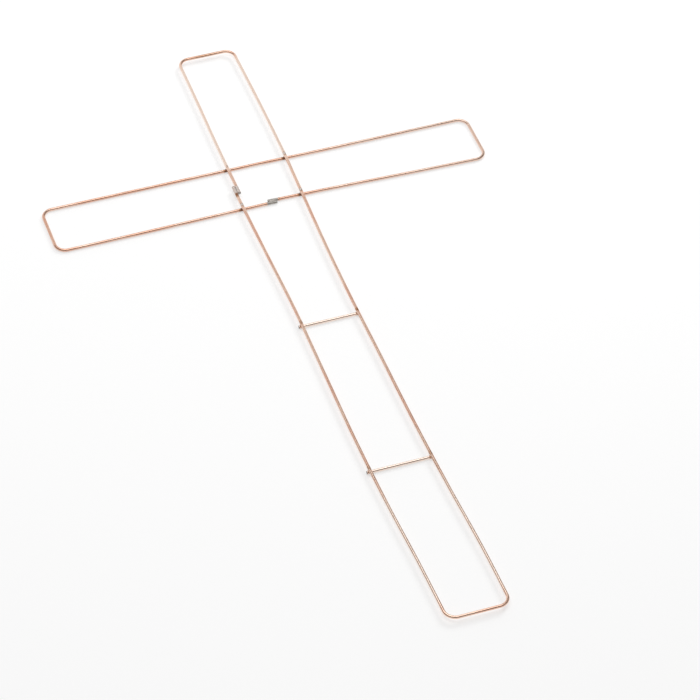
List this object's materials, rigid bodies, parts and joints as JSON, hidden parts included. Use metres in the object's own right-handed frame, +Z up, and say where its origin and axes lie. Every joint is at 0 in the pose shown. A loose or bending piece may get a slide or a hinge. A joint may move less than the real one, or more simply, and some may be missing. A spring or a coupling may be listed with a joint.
{
  "type": "wreath frame",
  "caption": "Flat cross-shaped floristry wreath frame of copper-plated wire: a long loop over a short one, braced by rungs and spot welded.",
  "frame": {"origin": "middle of the outline, on the surface the frame lies on", "axes": "+Y along the upright towards the short top arm, +X along the crossbar, +Z up through the upright, which lies on top of the crossbar"},
  "size_m": [0.344, 0.61, 0.0046],
  "materials": {
    "copper_wire": "bright copper plate on drawn mild steel wire, faintly drawn lengthwise, thinly tarnished",
    "weld": "bare resistance-welded steel, burnt grey, dull"
  },
  "bodies": {
    "root": {"upright_loop": "copper_wire", "crossbar_loop": "copper_wire", "upper_rung": "copper_wire", "lower_rung": "copper_wire", "upright_lap_weld": "weld", "crossbar_lap_weld": "weld", "crossing_weld_top_left": "weld", "crossing_weld_top_right": "weld", "crossing_weld_bottom_left": "weld", "crossing_weld_bottom_right": "weld", "rung_weld_upper_left": "weld", "rung_weld_upper_right": "weld", "rung_weld_lower_left": "weld", "rung_weld_lower_right": "weld"}
  },
  "joints": []
}
